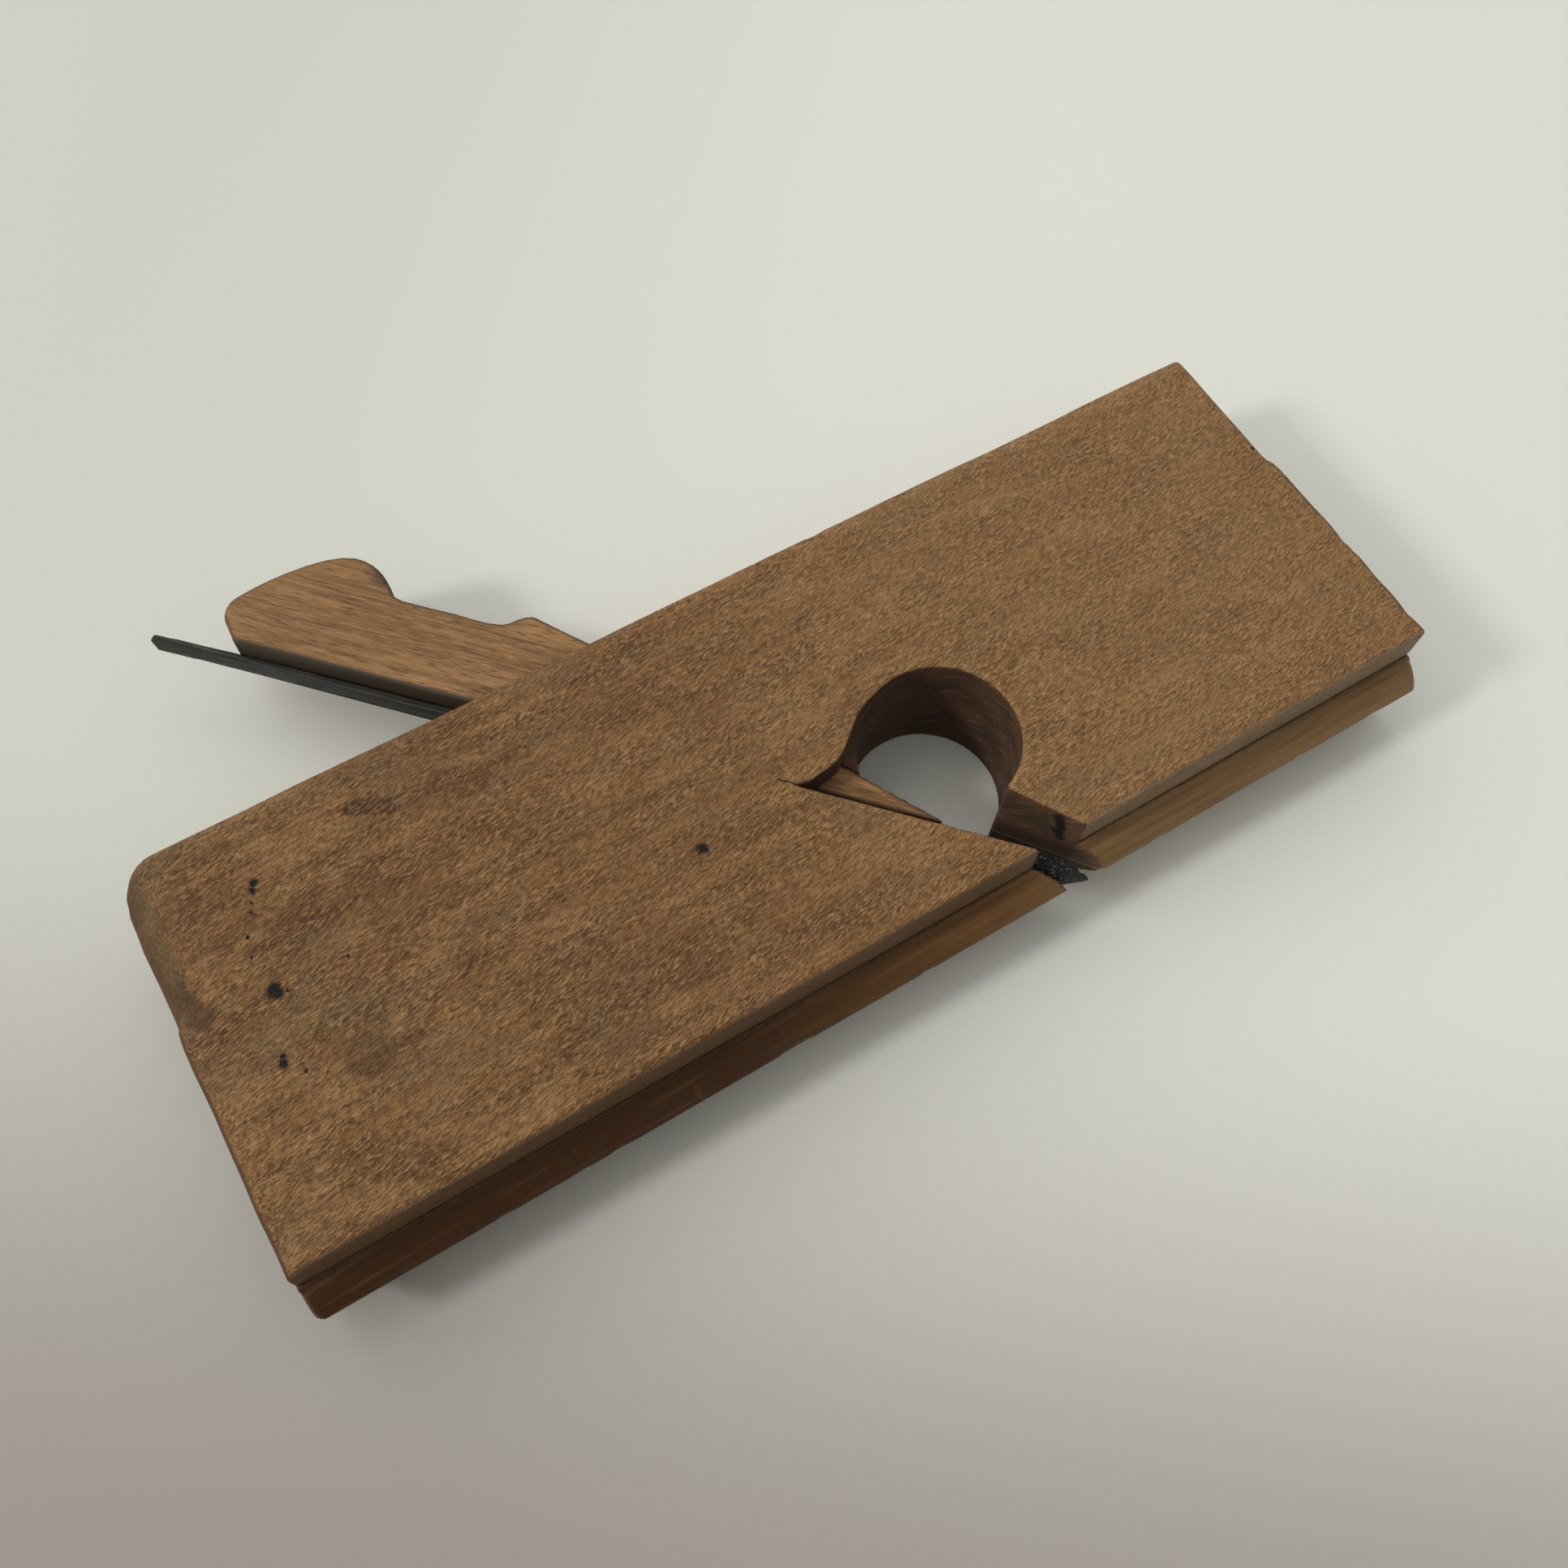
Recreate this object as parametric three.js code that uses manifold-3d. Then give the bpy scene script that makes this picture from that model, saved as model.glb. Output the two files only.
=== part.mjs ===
// A wooden hand plane with a ridged sole, lying on its left side as it is put down on a bench.
// Three loose pieces make the whole tool: the beech stock, the iron and the wedge.
//
// Frame, in millimetres: the origin is the centre of the stock's left face, which rests on the bench.
// +X points to the toe (the front end), +Y to the top of the plane, and +Z up, out of the right face.

import * as THREE from 'three';
import { mergeVertices } from 'three/addons/utils/BufferGeometryUtils.js';
import Module from 'manifold-3d';

const wasm = await Module();
wasm.setup();

// ---- Driving dimensions ----

const LENGTH = 241.3;        // nine and a half inches
const HEIGHT = 80.4;         // sole shoulders to top
const THICK = 28.6;          // one and an eighth inches
const GAP = 0.3;             // between touching pieces

const RIDGE_HALF = 5.6;      // half width of the sole's ridge at its root
const RIDGE_DROP = 5.9;      // how far the ridge stands below the shoulders
const RIDGE_FLANK_R = 11.5;  // each flank is an arc, so the two meet in a point
const QUIRK = 0.5;           // groove in the corner between shoulder and ridge

const TOP_CHAMFER = { face: 2.5, edge: 1.6 };
const HEEL_CHAMFER = { face: 5.5, edge: 4.5 };
const TOE_CHAMFER = { face: 1.8, edge: 2.2 };
const CHAMFER_STOP = 6.5;    // height of the end chamfers' lower stops above the origin
const CHAMFER_RUNOUT = 3;
const HEEL_CORNER_R = 7.5;
const TOE_CORNER_R = 1.2;

const BED_ANGLE = THREE.MathUtils.degToRad(46.26);     // iron to sole
const MOUTH_BACK = 27.15;    // where the bed meets the sole line
const MOUTH_FRONT = 36.9;    // where the front wall meets the sole line
const FRONT_ANGLE = THREE.MathUtils.degToRad(58.6);    // front wall to sole

const BORE = { x: 23.85, y: 28.3 - HEIGHT / 2, r: 15.3 };   // the round escapement, right through
const FRONT_HEIGHT = 13.9;   // where the front wall runs into the escapement, above the sole line
const CHEEK_HEIGHT = 32;     // where the left cheek starts on the bed, above the sole line

// The right cheek's rim beside the escapement, from the bore down to the bed: x, and height above the sole.
const CHEEK_RIM = [[18.85, 42.7], [13, 40.4], [7, 35.5], [2.1, 33.5], [-2.4, 33]];
const SAW_CUT = { from: 42, to: 50, width: 0.15 };     // its overrun along the bed, up from the sole line

const MORTISE = { low: 9.3, high: 22.4 };              // its side walls, as heights in the stock
const WEDGE_TAPER = Math.tan(THREE.MathUtils.degToRad(12.4));
const WEDGE_AT_TOP = 21.6;   // wedge's upper face above the bed, where it leaves the stock
const TOP_REACH = 94.3;      // distance of that place up the bed from the sole line
const BEVEL_REACH = 38.4;    // where the wedge's lower end is cut to a point
const TIP_REACH = 18;
const HEAD = { collar: 105.5, floor: 20.5, crown: 27.5, nose: 165.6, back: 161 };      // its head, likewise

const IRON_END = 179;        // free end of the tang, up the bed from the sole line
const IRON_AT_EDGE = 3.1;    // upper face above the bed at the cutting edge
const IRON_AT_END = 1.7;     // and at the free end
const TANG = { low: 13.3, high: 18.3 };                // its two sides, as heights in the stock
const BLADE_WIDTH = 15.6;
const BLADE_SHOULDER = { low: 34, high: 44 };          // where the blade narrows to the tang
const BLADE_CORNER = 1.5;    // its square corners' height above the sole line
const ARCH_SPREAD = 1.1;     // how much wider than the ridge the iron's arch starts, on each side
const EDGE_PROUD = 0.35;     // how far the cutting edge stands out of the ridge
const EDGE_BEVEL = Math.tan(THREE.MathUtils.degToRad(28));

const SOLE_Y = -HEIGHT / 2;
const TOP_Y = HEIGHT / 2;
const MID_Z = THICK / 2;
const CURVE_STEPS = 72;
const ARC_STEPS = 10;
const RIM_STEPS = 4;
const OVERCUT = 2;           // how far a cutter runs past the surface that it opens

// ---- Materials ----

const beech = new THREE.MeshStandardMaterial({ color: 0xa0713f, roughness: 0.55, metalness: 0 });
const wedgeBeech = new THREE.MeshStandardMaterial({ color: 0xa9783f, roughness: 0.55, metalness: 0 });
const steel = new THREE.MeshStandardMaterial({ color: 0x2c2c2e, roughness: 0.5, metalness: 0.9 });

// ---- Geometry helpers ----

function toSolid(geometry) {
  const bare = geometry.clone();
  bare.deleteAttribute('normal');
  bare.deleteAttribute('uv');
  const merged = mergeVertices(bare, 1e-4);
  return new wasm.Manifold(new wasm.Mesh({
    numProp: 3,
    vertProperties: new Float32Array(merged.attributes.position.array),
    triVerts: new Uint32Array(merged.index.array),
  }));
}

function toGeometry(solid) {
  const mesh = solid.getMesh();
  const geometry = new THREE.BufferGeometry();
  geometry.setAttribute('position', new THREE.BufferAttribute(mesh.vertProperties, 3));
  geometry.setIndex(new THREE.BufferAttribute(mesh.triVerts, 1));
  geometry.computeVertexNormals();
  return geometry;
}

function shapeOf(points) {
  return new THREE.Shape(points.map(([x, y]) => new THREE.Vector2(x, y)));
}

// An outline in X and Y, pushed up from the height zLow to zHigh.
function plate(shape, zLow, zHigh, curveSegments = ARC_STEPS) {
  const options = { depth: zHigh - zLow, bevelEnabled: false, curveSegments };
  return new THREE.ExtrudeGeometry(shape, options).translate(0, 0, zLow);
}

// An outline in Y and Z, pushed along X over the whole length of the stock.
function bar(shape) {
  const options = { depth: LENGTH + 2 * OVERCUT, bevelEnabled: false };
  const geometry = new THREE.ExtrudeGeometry(shape, options).translate(0, 0, -LENGTH / 2 - OVERCUT);
  const axes = new THREE.Matrix4().makeBasis(
    new THREE.Vector3(0, 1, 0), new THREE.Vector3(0, 0, 1), new THREE.Vector3(1, 0, 0));
  return geometry.applyMatrix4(axes);
}

// Points on the minor arc of a given radius from p to q, bulging to the right of the way from p to q.
function arcBetween(p, q, radius) {
  const chord = new THREE.Vector2(q[0] - p[0], q[1] - p[1]);
  const half = chord.length() / 2;
  const left = new THREE.Vector2(-chord.y, chord.x).normalize();
  const centre = new THREE.Vector2((p[0] + q[0]) / 2, (p[1] + q[1]) / 2)
    .addScaledVector(left, Math.sqrt(radius * radius - half * half));
  const start = Math.atan2(p[1] - centre.y, p[0] - centre.x);
  const sweep = 2 * Math.asin(half / radius);
  const points = [];
  for (let i = 0; i <= ARC_STEPS; i += 1) {
    const angle = start + sweep * i / ARC_STEPS;
    points.push([centre.x + radius * Math.cos(angle), centre.y + radius * Math.sin(angle)]);
  }
  return points;
}

// A closed solid through a row of outlines that all have the same number of points.
function loft(rings) {
  const count = rings[0].length;
  const positions = rings.flat(2);
  const index = [];
  for (let r = 0; r < rings.length - 1; r += 1) {
    for (let i = 0; i < count; i += 1) {
      const a = r * count + i;
      const b = r * count + (i + 1) % count;
      index.push(a, b, b + count, a, b + count, a + count);
    }
  }
  const last = (rings.length - 1) * count;
  for (let i = 1; i < count - 1; i += 1) {
    index.push(0, i + 1, i, last, last + i, last + i + 1);
  }
  const geometry = new THREE.BufferGeometry();
  geometry.setAttribute('position', new THREE.Float32BufferAttribute(positions, 3));
  geometry.setIndex(index);
  return geometry;
}

// ---- Places on the bed ----

// X and Y of a point, from its distance up the bed from the sole line and its height above the bed.
function onBed(up, above) {
  return [
    MOUTH_BACK - up * Math.cos(BED_ANGLE) + above * Math.sin(BED_ANGLE),
    SOLE_Y + up * Math.sin(BED_ANGLE) + above * Math.cos(BED_ANGLE),
  ];
}

// A point on the throat's front wall at a given height above the sole line.
function onFront(height) {
  return [MOUTH_FRONT - height / Math.tan(FRONT_ANGLE), SOLE_Y + height];
}

function wedgeTop(up) {
  return WEDGE_AT_TOP - (TOP_REACH - up) * WEDGE_TAPER;
}

// ---- Stock ----

// The side view: square at the sole, with a worn heel corner at the top.
function sideOutline() {
  const low = SOLE_Y - RIDGE_DROP - OVERCUT;
  const shape = new THREE.Shape();
  shape.moveTo(-LENGTH / 2, low);
  shape.lineTo(LENGTH / 2, low);
  shape.lineTo(LENGTH / 2, TOP_Y - TOE_CORNER_R);
  shape.absarc(LENGTH / 2 - TOE_CORNER_R, TOP_Y - TOE_CORNER_R, TOE_CORNER_R, 0, Math.PI / 2, false);
  shape.lineTo(-LENGTH / 2 + HEEL_CORNER_R, TOP_Y);
  shape.absarc(-LENGTH / 2 + HEEL_CORNER_R, TOP_Y - HEEL_CORNER_R, HEEL_CORNER_R,
    Math.PI / 2, Math.PI, false);
  return shape;
}

// The end view, as Y and Z: chamfered top, flat shoulders and a pointed ridge along the sole.
function endOutline() {
  const right = [SOLE_Y, MID_Z + RIDGE_HALF];
  const left = [SOLE_Y, MID_Z - RIDGE_HALF];
  const point = [SOLE_Y - RIDGE_DROP, MID_Z];
  return shapeOf([
    [SOLE_Y, 0],
    [TOP_Y - TOP_CHAMFER.face, 0],
    [TOP_Y, TOP_CHAMFER.edge],
    [TOP_Y, THICK - TOP_CHAMFER.edge],
    [TOP_Y - TOP_CHAMFER.face, THICK],
    [SOLE_Y, THICK],
    [SOLE_Y, right[1] + QUIRK],
    [SOLE_Y + QUIRK, right[1]],
    ...arcBetween(right, point, RIDGE_FLANK_R),
    ...arcBetween(point, left, RIDGE_FLANK_R).slice(1),
    [SOLE_Y + QUIRK, left[1]],
    [SOLE_Y, left[1] - QUIRK],
  ]);
}

// The waste of one stopped chamfer: a triangular bar along a corner, which runs out at its lower end.
// The end is -1 for the heel and 1 for the toe, and the side is -1 for left and 1 for right.
function endChamfer(end, side, size) {
  const ring = (y, out) => {
    const x = (inset) => end * (LENGTH / 2 + (out - inset) * size.face);
    const z = (inset) => MID_Z + side * (MID_Z + (out - inset) * size.edge);
    const corners = [[x(1.5), y, z(-0.5)], [x(-0.5), y, z(1.5)], [x(-0.5), y, z(-0.5)]];
    return end * side > 0 ? corners.reverse() : corners;
  };
  return loft([
    ring(CHAMFER_STOP, 0.8),
    ring(CHAMFER_STOP + CHAMFER_RUNOUT, 0),
    ring(TOP_Y + OVERCUT, 0),
  ]);
}

// The round escapement.
function bore() {
  const cylinder = new THREE.CylinderGeometry(BORE.r, BORE.r, THICK + 2 * OVERCUT, CURVE_STEPS);
  return cylinder.rotateX(Math.PI / 2).translate(BORE.x, BORE.y, MID_Z);
}

// The throat, from the mouth up to the escapement, open at both faces.
function throat() {
  const belowSole = RIDGE_DROP + OVERCUT;
  const cheekEnd = onBed(CHEEK_HEIGHT / Math.sin(BED_ANGLE), 0);
  const outline = shapeOf([
    onBed(-belowSole / Math.sin(BED_ANGLE), 0),
    onFront(-belowSole),
    onFront(FRONT_HEIGHT),
    [BORE.x, BORE.y],
    [BORE.x - BORE.r + 1, BORE.y + BORE.r / 4],
    [cheekEnd[0] + BORE.r / 3, cheekEnd[1] + 1.5],
    cheekEnd,
  ]);
  return plate(outline, -OVERCUT, THICK + OVERCUT);
}

// On the right cheek the escapement trails off towards the bed and ends in an overrun saw cut.
function cheekTail() {
  const outline = new THREE.Shape();
  const to = ([x, y]) => outline.lineTo(x, y);
  const rim = CHEEK_RIM.map(([x, height]) => new THREE.Vector2(x, SOLE_Y + height));
  outline.moveTo(rim[0].x, rim[0].y);
  outline.splineThru(rim.slice(1));
  to(onBed(SAW_CUT.to, SAW_CUT.width));
  to(onBed(SAW_CUT.to, 0));
  to(onBed(SAW_CUT.from, 0));
  to([BORE.x - BORE.r * 0.65, BORE.y]);
  return plate(outline, MORTISE.high - OVERCUT, THICK + OVERCUT, RIM_STEPS);
}

// The slot that holds the wedge and the tang, from the escapement up through the top.
function mortise() {
  const start = TIP_REACH + 7;
  const end = TOP_REACH + 40;
  const outline = shapeOf([
    onBed(start, 0),
    onBed(start, wedgeTop(start) + GAP),
    onBed(end, wedgeTop(end) + GAP),
    onBed(end, 0),
  ]);
  return plate(outline, MORTISE.low, MORTISE.high);
}

function stock() {
  let solid = toSolid(plate(sideOutline(), 0, THICK)).intersect(toSolid(bar(endOutline())));
  for (const side of [-1, 1]) {
    solid = solid.subtract(toSolid(endChamfer(-1, side, HEEL_CHAMFER)));
    solid = solid.subtract(toSolid(endChamfer(1, side, TOE_CHAMFER)));
  }
  for (const waste of [bore(), throat(), cheekTail(), mortise()]) {
    solid = solid.subtract(toSolid(waste));
  }
  const mesh = new THREE.Mesh(toGeometry(solid), beech);
  mesh.name = 'stock';
  return mesh;
}

// ---- Iron and wedge, in the bed's own frame: x down the bed to the mouth, y away from it ----

function ironTop(up) {
  const edgeUp = -RIDGE_DROP / Math.sin(BED_ANGLE);
  return THREE.MathUtils.mapLinear(up, edgeUp, IRON_END, IRON_AT_EDGE, IRON_AT_END);
}

// How far up the bed the iron's flat face meets a line at the given height above the sole line.
function edgeReach(height) {
  return (height - IRON_AT_EDGE * Math.cos(BED_ANGLE)) / Math.sin(BED_ANGLE);
}

// The iron is ground to the ridge's pointed arch, bevelled on the face that lies on the bed.
function iron() {
  const bladeHalf = BLADE_WIDTH / 2;
  const archHalf = RIDGE_HALF + ARCH_SPREAD;
  const drop = RIDGE_DROP + EDGE_PROUD;
  const arch = [
    ...arcBetween([-archHalf, 0], [0, -drop], RIDGE_FLANK_R),
    ...arcBetween([0, -drop], [archHalf, 0], RIDGE_FLANK_R).slice(1),
  ];
  const cutting = arch.map(([z, y]) => [-edgeReach(y), MID_Z + z]);
  const corner = -edgeReach(BLADE_CORNER);
  const outline = shapeOf([
    [corner, MID_Z - bladeHalf],
    ...cutting,
    [corner, MID_Z + bladeHalf],
    [-BLADE_SHOULDER.low, MID_Z + bladeHalf],
    [-BLADE_SHOULDER.high, TANG.high],
    [-IRON_END, TANG.high],
    [-IRON_END, TANG.low],
    [-BLADE_SHOULDER.high, TANG.low],
    [-BLADE_SHOULDER.low, MID_Z - bladeHalf],
  ]);
  const geometry = new THREE.ExtrudeGeometry(outline, { depth: 1, bevelEnabled: false });
  geometry.rotateX(Math.PI / 2).translate(0, 1, 0);
  const at = geometry.attributes.position;
  for (let i = 0; i < at.count; i += 1) {
    const upperFace = at.getY(i) > 0.5;
    const x = at.getX(i);
    if (upperFace) {
      at.setY(i, ironTop(-x));
    } else {
      const ground = x > -BLADE_SHOULDER.low / 2 ? (ironTop(-x) - GAP) / EDGE_BEVEL : 0;
      at.setXYZ(i, x - ground, GAP, at.getZ(i));
    }
  }
  const mesh = new THREE.Mesh(toGeometry(toSolid(geometry)), steel);
  mesh.name = 'iron';
  return mesh;
}

// The wedge: a long taper that fills the mortise, then a rounded head with a finger notch to knock it out.
function wedge() {
  const low = (up) => ironTop(up) + GAP;
  const { collar, floor, crown, nose, back } = HEAD;
  const outline = new THREE.Shape();
  outline.moveTo(-TIP_REACH, low(TIP_REACH));
  outline.lineTo(-TIP_REACH - 1, low(TIP_REACH) + 0.6);
  outline.lineTo(-BEVEL_REACH, wedgeTop(BEVEL_REACH));
  outline.lineTo(-collar, wedgeTop(collar));
  outline.quadraticCurveTo(-collar - 2.2, wedgeTop(collar) + 0.9, -collar - 5.2, floor + 1.4);
  outline.quadraticCurveTo(-collar - 6.5, floor, -collar - 10.5, floor);
  outline.lineTo(-nose + 34.6, floor);
  outline.quadraticCurveTo(-nose + 30.8, floor - 0.2, -nose + 30.2, floor + 1.1);
  outline.bezierCurveTo(-nose + 27.9, crown - 3.2, -nose + 25, crown - 0.1, -nose + 20.1, crown);
  outline.bezierCurveTo(-nose + 14.1, crown - 0.3, -nose + 4.7, crown - 9.7, -nose + 0.3, crown - 16);
  outline.quadraticCurveTo(-nose - 0.9, crown - 18.6, -nose + 0.6, crown - 21);
  outline.lineTo(-back, low(back));
  const solid = toSolid(plate(outline, MORTISE.low + GAP, MORTISE.high - GAP));
  const mesh = new THREE.Mesh(toGeometry(solid), wedgeBeech);
  mesh.name = 'wedge';
  return mesh;
}

// ---- Assembly ----

const bed = new THREE.Group();
bed.position.set(MOUTH_BACK, SOLE_Y, 0);
bed.rotation.z = -BED_ANGLE;
bed.add(iron(), wedge());

const plane = new THREE.Group();
plane.add(stock(), bed);

export default plane;
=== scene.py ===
"""A worn wooden hand plane with a ridged sole: the looks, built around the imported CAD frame.

The stock, the wedge and the iron are each carved as a distance field, with edges as round as wear has
left them, and the field's surface becomes the piece's mesh. Lengths are in millimetres until a mesh is made.
The frame's axes: +X to the toe, +Y to the top of the plane, +Z up, out of the right face.
"""
import math

import bpy
import numpy as np
from mathutils import Matrix, Vector


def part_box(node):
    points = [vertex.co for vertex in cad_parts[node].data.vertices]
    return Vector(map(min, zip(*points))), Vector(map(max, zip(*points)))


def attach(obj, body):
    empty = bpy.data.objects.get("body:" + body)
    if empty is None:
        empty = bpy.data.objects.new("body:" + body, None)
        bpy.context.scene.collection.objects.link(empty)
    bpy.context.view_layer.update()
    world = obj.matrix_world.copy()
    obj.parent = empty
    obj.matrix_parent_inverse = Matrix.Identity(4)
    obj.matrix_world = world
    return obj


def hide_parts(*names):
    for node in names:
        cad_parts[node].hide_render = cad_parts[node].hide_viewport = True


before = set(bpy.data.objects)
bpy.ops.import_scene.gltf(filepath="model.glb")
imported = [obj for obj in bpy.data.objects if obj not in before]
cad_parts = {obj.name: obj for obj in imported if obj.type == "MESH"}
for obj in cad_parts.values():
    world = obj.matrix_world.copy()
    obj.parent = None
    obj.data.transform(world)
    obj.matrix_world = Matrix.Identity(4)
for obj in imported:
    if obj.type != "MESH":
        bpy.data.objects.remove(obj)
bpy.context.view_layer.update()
MM = 0.001

# ---- Driving dimensions, from the frame and as the CAD model has them ----

STOCK_LOW, STOCK_HIGH = (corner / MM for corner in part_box("stock"))
HALF_LENGTH = STOCK_HIGH.x
TOP = STOCK_HIGH.y
SOLE = -TOP                          # the sole's flat shoulders
THICK = STOCK_HIGH.z
MIDDLE = THICK / 2
RIDGE_DROP = SOLE - STOCK_LOW.y
RIDGE_HALF = 5.6
RIDGE_FLANK = 11.5                   # radius of each flank

BED_ANGLE = math.radians(46.26)
FRONT_ANGLE = math.radians(58.6)
MOUTH_BACK = 27.15
MOUTH_FRONT = 36.9
FRONT_HEIGHT = 13.9
CHEEK_HEIGHT = 32
BORE_X, BORE_Y, BORE_R = 23.85, SOLE + 28.3, 15.3
CHEEK_RIM = [(18.85, 42.7), (15.9, 41.9), (13, 40.4), (9.8, 37.9), (7, 35.5), (4.6, 34.1), (2.1, 33.5),
             (-2.4, 33)]
SAW_CUT_FROM, SAW_CUT_REACH = 44.5, 50

MORTISE_LOW, MORTISE_HIGH = 9.3, 22.4
GAP = 0.3
WEDGE_MIDDLE = (MORTISE_LOW + MORTISE_HIGH) / 2
WEDGE_HALF = WEDGE_MIDDLE - MORTISE_LOW - GAP
BLADE_HALF = 7.8
WEDGE_TAPER = math.tan(math.radians(12.4))
WEDGE_AT_TOP, TOP_REACH = 21.6, 94.3
BEVEL_REACH, TIP_REACH = 38.4, 18

IRON_END = 179
IRON_AT_EDGE, IRON_AT_END = 3.1, 1.7
TANG_LOW, TANG_HIGH = 13.3 - MIDDLE, 18.3 - MIDDLE
SHOULDER_LOW, SHOULDER_HIGH = 34, 44
ARCH_HALF = RIDGE_HALF + 1.1
EDGE_PROUD = 0.35
EDGE_BEVEL = math.tan(math.radians(28))

# ---- Camera, at the reference view ----

EYE = Vector((-0.0766, -0.1040, 0.2817))
LOOK = Vector((0.2487, 0.3517, -0.9025))
UP = Vector((0.4513, 0.7824, 0.4292))
LENS = 34.85


def camera():
    right = LOOK.cross(UP).normalized()
    up = right.cross(LOOK).normalized()
    data = bpy.data.cameras.new("camera")
    data.lens = LENS
    data.sensor_width = 36
    data.clip_start = 0.01
    view = bpy.data.objects.new("camera", data)
    turn = Matrix((right, up, -LOOK.normalized())).transposed()
    view.matrix_world = Matrix.Translation(EYE) @ turn.to_4x4()
    bpy.context.scene.collection.objects.link(view)
    bpy.context.scene.camera = view


# ---- Distance fields: negative inside, in millimetres ----

def rounded(a, b, r):
    """What two solids share, with an edge of radius r where their surfaces meet."""
    reach = np.hypot(np.maximum(a + r, 0), np.maximum(b + r, 0))
    return np.minimum(-r, np.maximum(a, b)) + reach


def wander(at, step, size, seed):
    """A smooth random curve over at, from -size to size, with a new value every step."""
    values = np.random.default_rng(seed).uniform(-size, size, 4096)
    cells = at / step
    low = np.floor(cells).astype(int)
    t = cells - low
    t = t * t * (3 - 2 * t)
    return values[low % 4096] * (1 - t) + values[(low + 1) % 4096] * t


def outline(points, x, y):
    """Distance from a closed outline in a plane."""
    nearest = np.inf
    inside = np.zeros(np.broadcast(x, y).shape, bool)
    for (ax, ay), (bx, by) in zip(points, points[1:] + points[:1]):
        ex, ey = bx - ax, by - ay
        wx, wy = x - ax, y - ay
        t = np.clip((wx * ex + wy * ey) / (ex * ex + ey * ey), 0, 1)
        nearest = np.minimum(nearest, (wx - ex * t) ** 2 + (wy - ey * t) ** 2)
        if ey:
            inside ^= ((ay > y) != (by > y)) & (x < ex * (y - ay) / ey + ax)
    return np.where(inside, -1, 1) * np.sqrt(nearest)


def slope(x, y, at, normal):
    """Distance above a plane through the point at, seen along its surface."""
    length = math.hypot(*normal)
    return ((x - at[0]) * normal[0] + (y - at[1]) * normal[1]) / length


def arch(drop, half, y, z, tip):
    """The ridge's pointed arch below the line y = 0: two discs that meet in a rounded point."""
    chord = math.hypot(drop, half) / 2
    rise = math.sqrt(RIDGE_FLANK ** 2 - chord ** 2)
    cy = -drop / 2 + rise * half / (2 * chord)
    cz = half / 2 - rise * drop / (2 * chord)
    return rounded(np.hypot(y - cy, z - cz) - RIDGE_FLANK, np.hypot(y - cy, z + cz) - RIDGE_FLANK, tip)


def surface(field, xs, ys, zs):
    """The quads of a field's zero surface on a grid of uneven spacing: one point in each cell it crosses."""
    axes = (xs, ys, zs)
    inside = field < 0
    cells = tuple(n - 1 for n in field.shape)
    total = np.zeros(cells + (3,))
    count = np.zeros(cells)
    crossings = []
    for axis in range(3):
        first = [slice(None)] * 3
        second = [slice(None)] * 3
        first[axis] = slice(None, -1)
        second[axis] = slice(1, None)
        a, b = field[tuple(first)], field[tuple(second)]
        crossed = inside[tuple(first)] != inside[tuple(second)]
        where = np.argwhere(crossed)
        va, vb = a[crossed], b[crossed]
        share = va / (va - vb)
        point = np.stack([axes[k][where[:, k]] for k in range(3)], 1).astype(float)
        point[:, axis] += share * np.diff(axes[axis])[where[:, axis]]
        crossings.append((where, va < 0))
        others = [k for k in range(3) if k != axis]
        for back_0 in (0, 1):
            for back_1 in (0, 1):
                cell = where.copy()
                cell[:, others[0]] -= back_0
                cell[:, others[1]] -= back_1
                held = np.all((cell >= 0) & (cell < cells), 1)
                np.add.at(total, tuple(cell[held].T), point[held])
                np.add.at(count, tuple(cell[held].T), 1)
    used = count > 0
    number = np.full(cells, -1)
    number[used] = np.arange(used.sum())
    points = total[used] / count[used][:, None]
    quads = []
    for axis, (where, rising) in enumerate(crossings):
        u, v = (axis + 1) % 3, (axis + 2) % 3
        corners = []
        for du, dv in ((-1, -1), (0, -1), (0, 0), (-1, 0)):
            cell = where.copy()
            cell[:, u] += du
            cell[:, v] += dv
            corners.append(number[tuple(cell.T)])
        quad = np.stack(corners, 1)
        quads.append(np.where(rising[:, None], quad, quad[:, ::-1]))
    return points, np.concatenate(quads)


def spaced(*stretches):
    """Grid lines through stretches of (start, stop, step) that follow on from each other."""
    lines = [np.linspace(a, b, max(1, round((b - a) / step)), endpoint=False) for a, b, step in stretches]
    return np.append(np.concatenate(lines), stretches[-1][1])


def piece(name, points, quads, masks, material, body):
    """A mesh piece that stands for the CAD node of the same name and rides on its body."""
    mesh = bpy.data.meshes.new(name + "_worn")
    mesh.from_pydata((points * MM).tolist(), [], quads.tolist())
    mesh.shade_smooth()
    for mask, values in masks.items():
        layer = mesh.attributes.new(mask, "FLOAT", "POINT")
        layer.data.foreach_set("value", np.clip(values, 0, 1).astype(np.float32))
    mesh.materials.append(material)
    made = bpy.data.objects.new(name + "_worn", mesh)
    bpy.context.scene.collection.objects.link(made)
    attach(made, body)
    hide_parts(name)
    return made


def chip(field, axes, centre, radius):
    """Knocks a small hollow out of a field, at centre, with a radius along each axis."""
    spans = []
    for lines, at, r in zip(axes, centre, radius):
        spans.append(slice(*np.searchsorted(lines, (at - 2 * r, at + 2 * r))))
    local = [lines[span] for lines, span in zip(axes, spans)]
    if min(len(lines) for lines in local) == 0:
        return
    x, y, z = np.meshgrid(*local, indexing="ij")
    away = np.sqrt(sum(((g - c) / r) ** 2 for g, c, r in zip((x, y, z), centre, radius)))
    block = field[tuple(spans)]
    block[:] = np.maximum(block, (1 - away) * min(radius))


# ---- Places on the bed ----

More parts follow.
